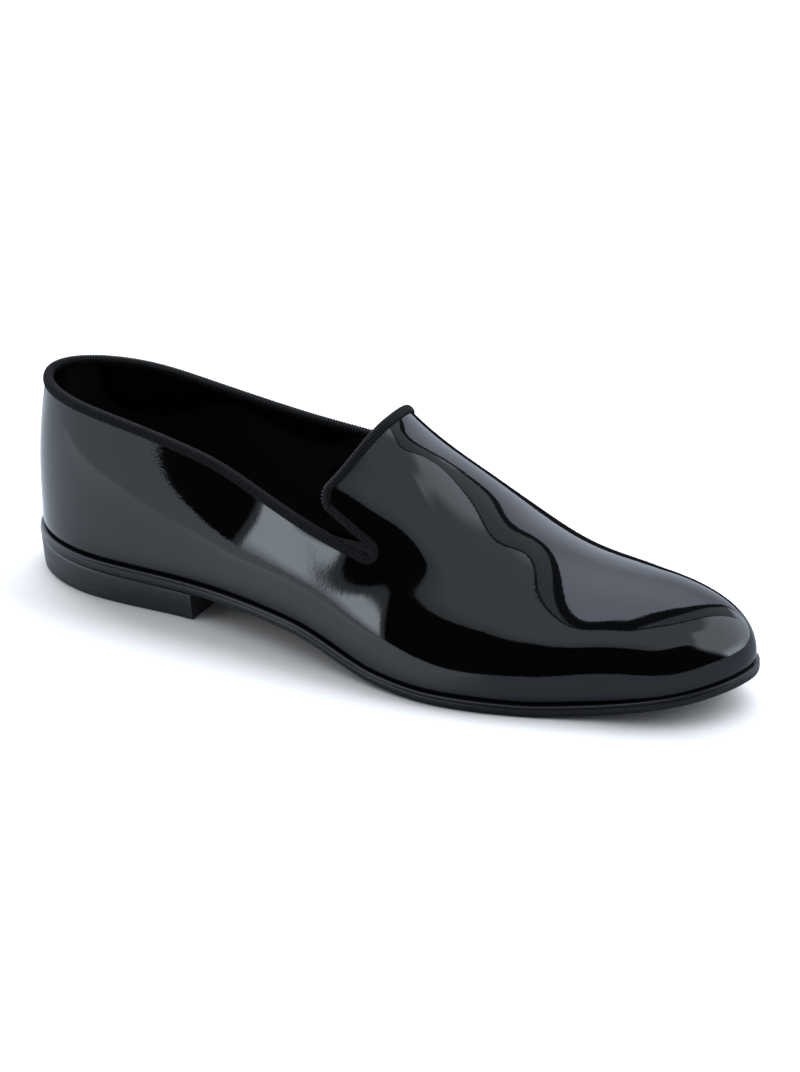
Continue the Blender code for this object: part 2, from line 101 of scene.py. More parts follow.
def steady(knots, values):
    """Curve through the values that never overshoots them."""
    knots = np.asarray(knots, float)
    values = np.asarray(values, float)
    step = np.diff(knots)
    slope = np.diff(values) / step
    rate = np.r_[slope[0], np.zeros(len(step) - 1), slope[-1]]
    for i in range(1, len(step)):
        if slope[i - 1] * slope[i] > 0:
            near = 2 * step[i] + step[i - 1]
            far = step[i] + 2 * step[i - 1]
            rate[i] = (near + far) / (near / slope[i - 1] + far / slope[i])

    def at(x):
        x = np.clip(np.asarray(x, float), knots[0], knots[-1])
        i = np.clip(np.searchsorted(knots, x, side="right") - 1, 0, len(step) - 1)
        t = (x - knots[i]) / step[i]
        rise = values[i + 1] - values[i]
        bow = step[i] * t * (1 - t) * (rate[i] * (1 - t) - rate[i + 1] * t)
        return values[i] + rise * ease(t) + bow
    return at


def along(points):
    """Length from the start of a run of points to each of them."""
    return np.r_[0, np.cumsum(np.linalg.norm(np.diff(points, axis=0), axis=1))]


def divided(points, lengths):
    """Points at the given lengths along a run of points."""
    run = along(points)
    return np.stack([np.interp(lengths, run, axis) for axis in np.transpose(points)], axis=-1)


def unit(vectors):
    return vectors / np.maximum(np.linalg.norm(vectors, axis=-1, keepdims=True), 1e-12)


# %% The tables of the last
OUTER_PLAN = table(
    "station width",
    (0.028, 0.185), (0.104, 0.307), (0.191, 0.325), (0.278, 0.322), (0.382, 0.360),
    (0.521, 0.455), (0.642, 0.515), (0.764, 0.445), (0.868, 0.334), (0.955, 0.222))
INNER_PLAN = table(
    "station width",
    (0.028, 0.185), (0.104, 0.309), (0.191, 0.326), (0.278, 0.310), (0.382, 0.294),
    (0.521, 0.354), (0.642, 0.463), (0.719, 0.487), (0.816, 0.418), (0.868, 0.343), (0.955, 0.212))
RIDGE = table(
    "station height lean outer_power inner_power",
    (0.000, 1.333, 0.000, 2.20, 2.20), (0.208, 1.333, 0.012, 2.30, 2.40),
    (0.347, 1.321, 0.020, 2.20, 2.60), (0.424, 1.250, -0.030, 2.00, 2.85),
    (0.521, 0.990, -0.045, 2.00, 2.60), (0.625, 0.757, -0.024, 2.00, 2.25),
    (0.729, 0.554, -0.012, 2.08, 2.08), (0.833, 0.497, 0.004, 2.12, 2.12),
    (1.000, 0.467, 0.030, 2.30, 2.30))
SWELL = table(
    "station out",
    (0.000, 0.0), (0.139, -1.2), (0.220, -1.6), (0.278, -1.0), (0.340, 0.8), (0.400, 2.6), (0.470, 3.2),
    (0.540, 1.4), (0.640, 0.3), (0.720, 0.0), (1.000, 0.0))
LEAN_IN = table(
    "station most",
    (0.00, 0.0), (0.14, 4.0), (0.28, 9.0), (0.38, 13.0), (0.50, 8.5), (0.60, 5.5), (0.70, 1.5),
    (0.80, 0.0), (1.00, 0.0))
LEAN_FULL = 0.68
SOLE_LINE = table(
    "station heel toe",
    (0.000, 1.00, 0.00), (0.139, 0.95, 0.00), (0.278, 0.87, 0.00), (0.434, 0.72, 0.00),
    (0.573, 0.09, 0.00), (0.653, 0.00, 0.00), (0.757, 0.00, 0.00), (0.833, 0.00, 0.14),
    (1.000, 0.00, 1.00))
HEEL_HEIGHT = 12.5
TOE_SPRING = 11.3
SOLE_THICKNESS = 4.2
SOLE_MARGIN = 1.3
GAP = 0.3
TIP_Y = 2.7
TOE_LENGTH = 39.0
TOE_POWER = 2.4
TUCK = 0.5
TUCK_HEIGHT = 3.0
HEEL_LEAN = 5.0
HEEL_LEAN_FROM = 34.0
HEEL_LEAN_REACH = 75.0
HEEL_TOP = 77.0
SWELL_FROM = 3.0
SWELL_TO = 34.0
FINE = 240
TINY = 1e-6


def plan_loop():
    """Outline in plan, as the outer and the inner side from heel to tip."""
    outer = zip(OUTER_PLAN["station"] * LENGTH, -OUTER_PLAN["width"] * BALL_WIDTH)
    inner = zip(INNER_PLAN["station"] * LENGTH, INNER_PLAN["width"] * BALL_WIDTH)
    corners = [(0.0, 0.0), *outer, (LENGTH, TIP_Y), *reversed(list(inner)), (0.0, 0.0)]
    chord = np.linalg.norm(np.diff(corners, axis=0), axis=1)
    knots = np.r_[0, np.cumsum(np.sqrt(chord))]
    loop = smooth(knots, corners, closed=True)(np.linspace(0, knots[-1], 8 * FINE))[:-1]
    loop = np.roll(loop, -np.argmin(loop[:, 0]), axis=0)
    tip = np.argmax(loop[:, 0])
    return loop[:tip + 1], np.vstack([loop[tip:], loop[:1]])[::-1]


OUTER, INNER = plan_loop()
SIDES = {-1: OUTER, 1: INNER}
HEEL_X, TIP_X = OUTER[0, 0], OUTER[-1, 0]
ridge_height = smooth(RIDGE["station"] * LENGTH, RIDGE["height"] * INSTEP)
ridge_lean = smooth(RIDGE["station"] * LENGTH, RIDGE["lean"] * BALL_WIDTH)
section_power = {
    -1: smooth(RIDGE["station"] * LENGTH, RIDGE["outer_power"]),
    1: smooth(RIDGE["station"] * LENGTH, RIDGE["inner_power"])}
swell_out = smooth(SWELL["station"] * LENGTH, SWELL["out"])
lean_in = smooth(LEAN_IN["station"] * LENGTH, LEAN_IN["most"])
sole_under = steady(
    SOLE_LINE["station"] * LENGTH, SOLE_LINE["heel"] * HEEL_HEIGHT + SOLE_LINE["toe"] * TOE_SPRING)
print("outline from", round(HEEL_X, 2), "to", round(TIP_X, 2), "mm")


# %% Sections of the last
def feather(x):
    """Height of the upper's lower edge."""
    return sole_under(x) + SOLE_THICKNESS + GAP


def half_width(x, z, side):
    edge = np.interp(x, SIDES[side][:, 0], SIDES[side][:, 1])
    half = np.maximum(side * (edge - ridge_lean(x)), TINY)
    if side < 0:
        share = (z - feather(x)) / np.maximum(crown(x), TINY)
        return half - lean_in(x) * ease(share / LEAN_FULL)
    return half + swell_out(x) * ease((z - feather(x) - SWELL_FROM) / (SWELL_TO - SWELL_FROM))


def crown(x):
    back = np.clip((TIP_X - x) / TOE_LENGTH, 0, 1)
    return (ridge_height(x) - feather(x)) * (1 - (1 - back) ** TOE_POWER) ** (1 / TOE_POWER)


def wall_at(x, z, side):
    """Distance across, at a length and a height, of one side of the last."""
    share = np.clip((z - feather(x)) / crown(x), 0, 1)
    power = section_power[side](x)
    return ridge_lean(x) + side * half_width(x, z, side) * (1 - share ** power) ** (1 / power)


def drawn_in(points, outward):
    """Points of the plain last, drawn in at the sole and leant forward at the top of the heel."""
    x, y, z = np.transpose(points)
    draw = TUCK * np.clip(1 - (z - feather(x)) / TUCK_HEIGHT, 0, 1) ** 2
    high = np.clip((z - HEEL_LEAN_FROM) / (HEEL_TOP - HEEL_LEAN_FROM), 0, None)
    lean = HEEL_LEAN * high ** 2 * np.clip(1 - x / HEEL_LEAN_REACH, 0, 1) ** 2
    return np.stack([x - outward[:, 0] * draw + lean, y - outward[:, 1] * draw, z], axis=-1)


def outward_at(side, x):
    """Plan direction out of the shoe at lengths on one side's outline."""
    outline = SIDES[side]
    run = np.interp(x, outline[:, 0], along(outline))
    ahead = unit(divided(outline, run + 0.5) - divided(outline, run - 0.5))
    outward = side * np.stack([-ahead[:, 1], ahead[:, 0]], axis=-1)
    outward[x <= HEEL_X] = (-1, 0)
    outward[x >= TIP_X] = (1, 0)
    return outward


def hoop(x, share):
    """Section of the last at one length, from the outer side over the ridge to the inner side."""
    angle = np.linspace(0, np.pi, 2 * FINE + 1)
    side = np.where(angle < np.pi / 2, -1, 1)
    power = 2 / np.where(side < 0, section_power[-1](x), section_power[1](x))
    z = feather(x) + crown(x) * np.abs(np.sin(angle)) ** power
    half = np.where(side < 0, half_width(x, z, -1), half_width(x, z, 1))
    y = ridge_lean(x) + side * half * np.abs(np.cos(angle)) ** power
    where = np.array([x])
    outward = np.where(side[:, None] < 0, outward_at(-1, where), outward_at(1, where))
    path = drawn_in(np.stack([np.full_like(y, x), y, z], axis=-1), outward)
    return divided(path, share * along(path)[-1])


def even_stations(count):
    """Lengths from heel to tip, evenly spaced along the outline, so that both round ends get many."""
    x = np.linspace(HEEL_X, TIP_X, 40 * FINE)
    line = np.stack([x, np.interp(x, OUTER[:, 0], OUTER[:, 1]), crown(x)], axis=-1)
    run = along(line)
    return np.interp(np.linspace(0, run[-1], count + 1), run, x)


# %% [markdown]
# Nobody's patent leather is as even as its last. The tongue's side swells out over the foot, the vamp
# has a trough where the foot bends, and the ribbon draws the quarter in. In matt leather this hardly
# shows, but a mirror finish turns each soft trough into a bend of the reflected lights. The folds are
# listed one by one, each with a middle, a reach along each axis and a rise, in millimetres.

# %% Soft folds of the patent leather
FOLDS = table(
    "x y z reach_x reach_y reach_z rise",
    (137, -27, 58, 10, 10, 8, 2.6),     # the tongue's side swells over the foot
    (154, -30, 51, 9, 9, 8, 0.9),       # and runs out towards the notch
    (153, -20, 68, 10, 10, 9, -1.1),    # hollow above that swelling
    (146, -18, 76, 8, 9, 8, -0.6),      # dip in the tongue's top edge
    (136, -30, 46, 10, 9, 6, -0.9),     # the quarter, drawn in under its ribbon
    (160, -34, 42, 9, 9, 7, -0.8),      # and under the notch
    (122, -33, 30, 11, 10, 11, 0.5),    # the quarter's full side
    (166, -42, 20, 10, 10, 10, 0.7),    # the waist's full side
    (163, -10, 73, 9, 10, 9, 2.0),      # ridge of the instep
    (192, -32, 42, 14, 12, 9, -1.1),    # trough where the foot bends
    (204, -9, 49, 9, 12, 10, 1.5),      # ridge in front of it
    (228, -21, 37, 9, 12, 12, -0.7),    # second, shallow trough
    (202, -44, 17, 10, 10, 9, -0.5),    # hollow over the sole at the ball
    (230, -34, 15, 14, 10, 8, -0.4),    # and in front of the ball
    (264, -22, 12, 14, 10, 6, 0.4),     # the toe's full side
    (263, -12, 36, 10, 11, 11, -0.3),   # dip behind the toe
    (277, -4, 33, 9, 11, 13, 0.9))      # the toe's crown


def fold_rise(points):
    rise = np.zeros(len(points))
    for x, y, z, along_x, along_y, along_z, height in np.transpose(list(FOLDS.values())):
        away = (points - (x, y, z)) / (along_x, along_y, along_z)
        rise += height * np.exp(-0.5 * np.sum(away ** 2, axis=1))
    return rise


def last_grid(stations, rows):
    """Grid of points on the last, hoop by hoop, with the outward normal at each."""
    share = np.linspace(0, 1, 2 * rows + 1)
    grid = np.array([hoop(x, share) for x in even_stations(stations)])
    normal = unit(np.cross(np.gradient(grid, axis=0), np.gradient(grid, axis=1)))
    return grid, normal


# %% [markdown]
# A mesh from a grid of points is the plainest thing Blender can make. Points that fall together at
# the tip and at the back of the heel are merged, or the lacquer would show a star there.

# %% Meshes and pieces
WELD = 0.004


def mesh_of(name, points, faces):
    mesh = bpy.data.meshes.new(name)
    mesh.from_pydata(((np.asarray(points) - ORIGIN) * MM).tolist(), [], faces)
    work = bmesh.new()
    work.from_mesh(mesh)
    bmesh.ops.remove_doubles(work, verts=work.verts, dist=WELD * MM)
    work.to_mesh(mesh)
    work.free()
    return mesh


def turned_out(mesh):
    """The same closed mesh with its faces turned out."""
    work = bmesh.new()
    work.from_mesh(mesh)
    bmesh.ops.recalc_face_normals(work, faces=work.faces)
    work.to_mesh(mesh)
    work.free()
    return mesh


def strip_faces(rows, columns, loop_columns=False, loop_rows=False):
    wide = columns if loop_columns else columns - 1
    tall = rows if loop_rows else rows - 1
    return [(r * columns + c, (r + 1) % rows * columns + c,
             (r + 1) % rows * columns + (c + 1) % columns, r * columns + (c + 1) % columns)
            for r in range(tall) for c in range(wide)]


def piece_of(name, mesh, node, sharp=50.0):
    """A visible piece that rides on the one body and stands for its CAD node."""
    piece = bpy.data.objects.new(name, mesh)
    bpy.context.scene.collection.objects.link(piece)
    mesh.shade_smooth()
    mesh.set_sharp_from_angle(angle=np.radians(sharp))
    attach(piece, "root")
    if node:
        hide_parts(node)
    return piece


def applied(piece):
    """Bakes a piece's modifiers into its mesh."""
    graph = bpy.context.evaluated_depsgraph_get()
    graph.update()
    baked = bpy.data.meshes.new_from_object(piece.evaluated_get(graph))
    piece.modifiers.clear()
    piece.data = baked
    return len(baked.loop_triangles) or sum(len(p.vertices) - 2 for p in baked.polygons)


# %% [markdown]
# The top edge is cut in side view: up to the tongue's corner, down its side into a narrow notch, and
# back along the quarter to the heel. The inner side is cut higher than the outer one, because the
# ankle bone is higher there. The folds move the outer side, so its corner and its notch are cut about
# 2 mm from those of the plain last. One block for each side takes the opening out of the shell.

# %% Cut of the opening
TONGUE_X = 149.2
TONGUE_CORNER = {-1: (133.0, 58.5), 1: (139.6, 70.5)}
TONGUE_RADIUS = 5.0
NOTCH_APEX = {-1: (168.5, 41.1), 1: (173.5, 54.0)}
NOTCH_RADIUS = 1.9
NOTCH_STRAIGHT = 30.0
QUARTER_LINE = table(
    "station outer inner",
    (0.000, 77.0, 77.0), (0.139, 72.3, 72.3), (0.278, 63.2, 67.2), (0.387, 52.7, 62.6),
    (0.451, 48.4, 60.0), (0.510, 45.1, 57.6), (0.602, 40.8, 54.0))
quarter_height = {
    -1: steady(QUARTER_LINE["station"] * LENGTH, QUARTER_LINE["outer"]),
    1: steady(QUARTER_LINE["station"] * LENGTH, QUARTER_LINE["inner"])}


def fillet(start, corner, end, radius, steps=24):
    """Arc that rounds a corner between two straight lines in a plane."""
    to_start = unit(start - corner)
    to_end = unit(end - corner)
    half = np.arccos(np.clip(to_start @ to_end, -1, 1)) / 2
    middle = unit(to_start + to_end)
    centre = corner + middle * radius / np.sin(half)
    sweep = np.linspace(-1, 1, steps) * (np.pi / 2 - half)
    across = (to_end - middle * np.cos(half)) / np.sin(half)
    return centre + radius * (-np.outer(np.cos(sweep), middle) + np.outer(np.sin(sweep), across))


def opening_cut(side):
    """Side view of one side's top edge, from the tongue's middle by the notch to the heel."""
    top = np.array([TONGUE_X, ridge_height(TONGUE_X)])
    corner = np.array(TONGUE_CORNER[side])
    apex = np.array(NOTCH_APEX[side])
    behind_x = apex[0] - NOTCH_STRAIGHT
    behind = np.array([behind_x, quarter_height[side](behind_x)])
    corner_arc = fillet(top, corner, apex, TONGUE_RADIUS)
    notch_arc = fillet(corner, apex, behind, NOTCH_RADIUS)
    down = np.linspace(0, 1, FINE)[:, None] ** 3
    x = HEEL_X + (behind_x - HEEL_X) * (1 - np.cos(np.linspace(np.pi / 2, 0, FINE)))
    quarter = np.stack([x, quarter_height[side](x)], axis=-1)
    return np.vstack([top + (corner_arc[0] - top) * down, corner_arc[1:], notch_arc, quarter])


def top_edge(side):
    x, z = opening_cut(side).T
    edge = np.stack([x, wall_at(x, z, side), z], axis=-1)
    return drawn_in(edge, np.zeros((len(edge), 2)))


EDGES = {side: top_edge(side) for side in SIDES}
print("top edge:", {side: round(along(edge)[-1]) for side, edge in EDGES.items()}, "mm on each side")

CUTTER_WIDTH = 70.0
CUTTER_TOP = 140.0
CUTTER_OVERLAP = 0.05
CUTTER_STEPS = 220


def opening_cutter(side):
    edge = divided(EDGES[side], np.linspace(0, along(EDGES[side])[-1], CUTTER_STEPS))
    back = edge[-1, 0] - CUTTER_WIDTH
    sky = [(back, edge[-1, 2]), (back, CUTTER_TOP), (edge[0, 0] + CUTTER_TOP - edge[0, 2], CUTTER_TOP)]
    outline = np.array([(x, z) for x, _, z in edge] + sky)
    middle = edge[0, 1] - side * CUTTER_OVERLAP
    count = len(outline)
    near, far = ([(x, y, z) for x, z in outline] for y in (middle, middle + side * CUTTER_WIDTH))
    faces = [tuple(range(count)), tuple(range(2 * count - 1, count - 1, -1))]
    faces += [(i, (i + 1) % count, (i + 1) % count + count, i + count) for i in range(count)]
    cutter = bpy.data.objects.new("cutter", turned_out(mesh_of("cutter", near + far, faces)))
    bpy.context.scene.collection.objects.link(cutter)
    return cutter


def shell(name, skin, thickness, node):
    """Hollow shell inside a skin, with the opening cut out of it."""
    points, faces = skin
    piece = piece_of(name, mesh_of(name, points, faces), node)
    wall = piece.modifiers.new("wall", "SOLIDIFY")
    wall.thickness = thickness * MM
    wall.offset = -1
    cutters = [opening_cutter(side) for side in SIDES]
    for cutter in cutters:
        cut = piece.modifiers.new("opening", "BOOLEAN")
        cut.object = cutter
    count = applied(piece)
    for cutter in cutters:
        bpy.data.objects.remove(cutter)
    print(name, count, "triangles")
    return piece


# %% [markdown]
# The upper is one sheet of patent leather, whole-cut with no seam in sight, and it has a thin black
# lining. Both are hoops over the last, made hollow with Solidify and opened with a Boolean. The
# patent sheet is very finely divided, because its gloss shows every facet.

# %% Patent upper and lining
PATENT_STATIONS = 250
PATENT_ROWS = 62
PATENT_THICKNESS = 0.9
LINING_STATIONS = 120
LINING_ROWS = 36
LINING_DEPTH = 0.95
LINING_THICKNESS = 0.65

patent_grid, patent_normal = last_grid(PATENT_STATIONS, PATENT_ROWS)
patent_shape = patent_grid.shape
patent_points = patent_grid.reshape(-1, 3)
patent_points = patent_points + patent_normal.reshape(-1, 3) * fold_rise(patent_points)[:, None]
patent_faces = strip_faces(*patent_shape[:2])
skin_mesh = mesh_of("skin", patent_points, patent_faces)
skin = BVHTree.FromPolygons(
    [v.co for v in skin_mesh.vertices], [p.vertices for p in skin_mesh.polygons])
bpy.data.meshes.remove(skin_mesh)
upper = shell(
    "patent_upper", (patent_points, patent_faces), PATENT_THICKNESS, "upper")

lining_grid, lining_normal = last_grid(LINING_STATIONS, LINING_ROWS)
lining_points = lining_grid.reshape(-1, 3)
lining_depth = LINING_DEPTH - fold_rise(lining_points)[:, None]
lining_points = lining_points - lining_normal.reshape(-1, 3) * lining_depth
lining_faces = strip_faces(*lining_grid.shape[:2])
lining = shell("lining", (lining_points, lining_faces), LINING_THICKNESS, None)

# %% [markdown]
# A grosgrain ribbon is folded over the whole top edge. Its ribs run across it, about one to the
# millimetre, and are what the eye reads, so they are modelled: the ribbon's section swells and
# shrinks along the edge, and each rib ends in a tiny tooth on the leather.

# %% Grosgrain binding
RIB_PITCH = 1.05
RIB_STEPS = 6
RIB_RISE = 0.44
TOOTH = 0.30
BAND_MIDDLE = 1.3
TEETH_FROM = 2.5
BAND_FROM = 0.3
OUTER_FACE = -0.1
EDGE_STEPS = 12 * FINE
# passes of averaging for the edge, its direction, its normal and the ribbon's outer face
CALM_EDGE = 20
CALM_AHEAD = 8
CALM_NORMAL = 16
CALM_FACE = 4
# corners of the folded section: out of the skin, down from the edge, and share of the rib's rise
RIBBON_SECTION = table(
    "out down rib",
    (0.02, 2.75, 0.4), (0.30, 2.72, 0.8), (0.62, 2.40, 1.0), (0.82, 1.80, 1.0), (0.90, 1.15, 1.0),
    (0.86, 0.50, 1.0), (0.66, -0.10, 1.0), (0.28, -0.55, 1.0), (-0.25, -0.80, 1.0), (-0.80, -0.88, 1.0),
    (-1.35, -0.80, 1.0), (-1.88, -0.55, 1.0), (-2.26, -0.10, 1.0), (-2.45, 0.50, 1.0),
    (-2.48, 1.20, 1.0), (-2.36, 1.90, 0.9), (-2.05, 2.35, 0.6), (-1.62, 2.40, 0.0),
    (-1.30, 1.20, 0.0), (-0.80, 0.60, 0.0), (-0.30, 1.20, 0.0))


def on_skin(points):
    found = [skin.find_nearest(Vector((p - ORIGIN) * MM)) for p in points]
    return np.array([f[0] for f in found]) / MM + ORIGIN, np.array([f[1] for f in found])


def spread(values, passes):
    """Neighbours averaged round a closed edge, to calm small jumps."""
    for _ in range(passes):
        values = (2 * values + np.roll(values, 1, axis=0) + np.roll(values, -1, axis=0)) / 4
    return values


ring = np.vstack([EDGES[-1], EDGES[1][-2::-1]])
fine_edge = divided(ring, np.linspace(0, along(ring)[-1], EDGE_STEPS, endpoint=False))
fine_edge = fine_edge + spread(on_skin(fine_edge)[0] - fine_edge, CALM_EDGE)
fine_ahead = np.roll(fine_edge, -2, axis=0) - np.roll(fine_edge, 2, axis=0)
fine_ahead = unit(spread(fine_ahead, CALM_AHEAD))
fine_normal = unit(spread(on_skin(fine_edge)[1], CALM_NORMAL))
fine_normal = unit(fine_normal - fine_ahead * np.sum(fine_normal * fine_ahead, axis=1, keepdims=True))
band = fine_edge + BAND_MIDDLE * np.cross(fine_normal, fine_ahead)
band_run = along(np.vstack([band, band[:1]]))
ribs = int(round(band_run[-1] / RIB_PITCH))
columns = ribs * RIB_STEPS
wanted = np.linspace(0, band_run[-1], columns, endpoint=False)


def at_ribs(values):
    looped = np.vstack([values, values[:1]])
    return np.stack([np.interp(wanted, band_run, axis) for axis in looped.T], axis=-1)


edge = at_ribs(fine_edge)
ahead = unit(at_ribs(fine_ahead))
edge_normal = unit(at_ribs(fine_normal))
down = np.cross(edge_normal, ahead)
phase = np.arange(columns) * 2 * np.pi / RIB_STEPS
rib = np.sqrt(0.5 + 0.5 * np.cos(phase))[:, None]
section_ahead = np.gradient(np.stack([RIBBON_SECTION["out"], RIBBON_SECTION["down"]], axis=-1), axis=0)
section_out = unit(np.stack([-section_ahead[:, 1], section_ahead[:, 0]], axis=-1))
rows = []
for out, low, share, (away, lower) in zip(*RIBBON_SECTION.values(), section_out):
    lift = RIB_RISE * share * (rib - 0.5)
    tooth = TOOTH * (1 - rib) if low > TEETH_FROM else 0 * rib
    base = edge + down * (low + lower * lift - tooth)
    if low > BAND_FROM and out > OUTER_FACE:
        base = spread(on_skin(edge + down * low)[0], CALM_FACE) + down * (lower * lift - tooth)
    rows.append(base + edge_normal * (out + away * lift))
binding_mesh = mesh_of(
    "ribbon_binding", np.array(rows).reshape(-1, 3),
    strip_faces(len(rows), columns, loop_columns=True, loop_rows=True))
binding = piece_of(
    "ribbon_binding", turned_out(binding_mesh), "topline_binding", sharp=80)
print("binding:", round(band_run[-1]), "mm,", ribs, "ribs,", 2 * len(rows) * columns, "triangles")


# %% [markdown]
# The sole is a thin slab with the last's outline, drawn out a little past it. Its edge is worked with
# irons: a rounded lower corner, a plain band, a fine groove and a lip. The heel is a low block under
# it with a straight breast. Loops of points, one over the other, make both.

# %% Sole, heel and sock
SOLE_EDGE = table(
    "inset share",
    (1.10, 0.00), (0.60, 0.02), (0.25, 0.07), (0.06, 0.16), (0.0, 0.28), (0.0, 0.60), (0.08, 0.635),
    (0.42, 0.665), (0.46, 0.69), (0.30, 0.72), (0.12, 0.75), (0.08, 0.80), (0.10, 0.88), (0.30, 0.955),
    (0.75, 1.00), (1.6, 1.00))
HEEL_SIDE = table(
    "inset share",
    (2.0, 0.00), (1.35, 0.015), (1.02, 0.06), (0.90, 0.12), (0.70, 0.33), (0.72, 0.345), (0.72, 0.355),
    (0.68, 0.37), (0.50, 0.60), (0.25, 0.90), (0.30, 0.96), (0.6, 1.00))
SOCK_SIDE = table(
    "inset share",
    (0.0, 0.00), (0.0, 0.70), (0.15, 0.88), (0.5, 0.97), (1.2, 1.00), (4.0, 1.02))
HEEL_BREAST_X = 80.0
WALL = 1.6
SOCK_THICKNESS = 3.0
SOLE_STATIONS = 150
HEEL_STATIONS = 60


def plan_ring(x):
    """Loop of the outline at the given lengths and the direction out of it."""
    sides = {s: np.column_stack([x, np.interp(x, o[:, 0], o[:, 1])]) for s, o in SIDES.items()}
    back = slice(-2 if x[-1] >= TIP_X else None, 0, -1)
    return (np.vstack([sides[-1], sides[1][back]]),
            np.vstack([outward_at(-1, x), outward_at(1, x)[back]]))


def cap_faces(start, count):
    faces = []
    for i in range((count + 1) // 2):
        corners = dict.fromkeys((i, i + 1, count - i - 1, (count - i) % count))
        if len(corners) > 2:
            faces.append([start + corner for corner in corners])
    return faces


def ring_solid(name, rings):
    rows, columns, _ = np.shape(rings)
    faces = strip_faces(rows, columns, loop_columns=True)
    faces += cap_faces(0, columns) + cap_faces((rows - 1) * columns, columns)
    return turned_out(mesh_of(name, np.reshape(rings, (-1, 3)), faces))


def sole_rings():
    plan, outward = plan_ring(even_stations(SOLE_STATIONS))
    for inset, share in zip(*SOLE_EDGE.values()):
        loop = plan + outward * (SOLE_MARGIN - inset)
        yield np.column_stack([loop, sole_under(loop[:, 0]) + share * SOLE_THICKNESS])


def heel_rings():
    sweep = np.linspace(0, np.pi / 2, HEEL_STATIONS + 1)
    plan, outward = plan_ring(HEEL_X + (HEEL_BREAST_X - HEEL_X) * (1 - np.cos(sweep)))
    for inset, share in zip(*HEEL_SIDE.values()):
        loop = plan + outward * (SOLE_MARGIN - inset)
        loop[HEEL_STATIONS:HEEL_STATIONS + 2, 0] = HEEL_BREAST_X
        yield np.column_stack([loop, share * (sole_under(loop[:, 0]) - GAP)])


def sock_rings():
    plan, outward = plan_ring(even_stations(SOLE_STATIONS))
    for inset, share in zip(*SOCK_SIDE.values()):
        loop = plan - outward * (TUCK + WALL + GAP + inset)
        yield np.column_stack([loop, feather(loop[:, 0]) + share * SOCK_THICKNESS])


sole_mesh = ring_solid("leather_sole", list(sole_rings()))
heel_mesh = ring_solid("block_heel", list(heel_rings()))
sock_mesh = ring_solid("sock", list(sock_rings()))
sole = piece_of("leather_sole", sole_mesh, "outsole")
heel = piece_of("block_heel", heel_mesh, "heel", sharp=35)
sock = piece_of("sock", sock_mesh, "insole")
for made in (sole, heel, sock):
    print(made.name, len(made.data.polygons), "faces")

# %% [markdown]
# Finishes are written as sums. The small class below wraps one socket of a node tree, so that an
# expression such as 1 - mask adds its Math nodes by itself. Every other node comes from add().


# %% Shader maths
class Wire:
    """An output socket of a node tree that can be reckoned with."""

    def __init__(self, tree, socket):
        self.tree = tree
        self.socket = socket

    def add(self, kind, settings, sockets, take=0):
        """Any node: its type, its settings, then the values or wires of its input sockets."""
        node = self.tree.nodes.new(kind)
        for name, value in settings.items():
            setattr(node, name, value)
        for name, value in sockets.items():
            if isinstance(value, Wire):
                self.tree.links.new(value.socket, node.inputs[name])
            else:
                node.inputs[name].default_value = value
        return Wire(self.tree, node.outputs[take])

    def maths(self, operation, *values):
        return self.add("ShaderNodeMath", {"operation": operation}, dict(enumerate(values)))

    def __add__(self, other):
        return self.maths("ADD", self, other)

    def __sub__(self, other):
        return self.maths("SUBTRACT", self, other)

    def __rsub__(self, other):
        return self.maths("SUBTRACT", other, self)

    def __mul__(self, other):
        return self.maths("MULTIPLY", self, other)

    def __truediv__(self, other):
        return self.maths("DIVIDE", self, other)

    __radd__ = __add__
    __rmul__ = __mul__

    def step(self, low, high):
        """0 below low, 1 above high, and smooth between them."""
        return self.add("ShaderNodeMapRange", {"interpolation_type": "SMOOTHSTEP"},
                        {"Value": self, "From Min": low, "From Max": high})

    def within(self, low, low_full, high_full, high):
        """1 between the two inner limits, 0 outside the outer ones."""
        return self.step(low, low_full) * (1 - self.step(high_full, high))

    def mix(self, first, second):
        """Colour between two colours, with this value as the share of the second."""
        return self.add("ShaderNodeMix", {"data_type": "RGBA"}, {0: self, 6: first, 7: second}, 2)

    def scaled(self, factors):
        return self.add("ShaderNodeVectorMath", {"operation": "MULTIPLY"}, {0: self, 1: factors})

    def part(self, axis):
        return self.add("ShaderNodeSeparateXYZ", {}, {0: self}, axis)

    def noise(self, scale, detail=2.0, roughness=0.5):
        return self.add("ShaderNodeTexNoise", {},
                        {"Vector": self, "Scale": scale, "Detail": detail, "Roughness": roughness})

    def bump(self, height, distance, strength=1.0):
        """Normal that stands out by a height, in millimetres."""
        return self.add("ShaderNodeBump", {},
                        {"Height": height, "Distance": distance * MM, "Strength": strength})


def finish(name, constants):
    """A Principled material with its constants set, its shader node and its place in millimetres."""
    material = bpy.data.materials.new(name)
    material.use_nodes = True
    tree = material.node_tree
    shader = tree.nodes["Principled BSDF"]
    for socket, value in constants.items():
        shader.inputs[socket].default_value = value
    place = Wire(tree, tree.nodes.new("ShaderNodeTexCoord").outputs["Object"])
    return material, shader, place.scaled((1 / MM,) * 3)


def feed(shader, **wires):
    for name, wire in wires.items():
        shader.id_data.links.new(wire.socket, shader.inputs[name.replace("_", " ")])


# %% [markdown]
# Patent leather is leather under a thick clear coat, black and mirror bright. The coat follows the
# skin's fine pores, which is why reflected edges look combed. A very small bump does that.

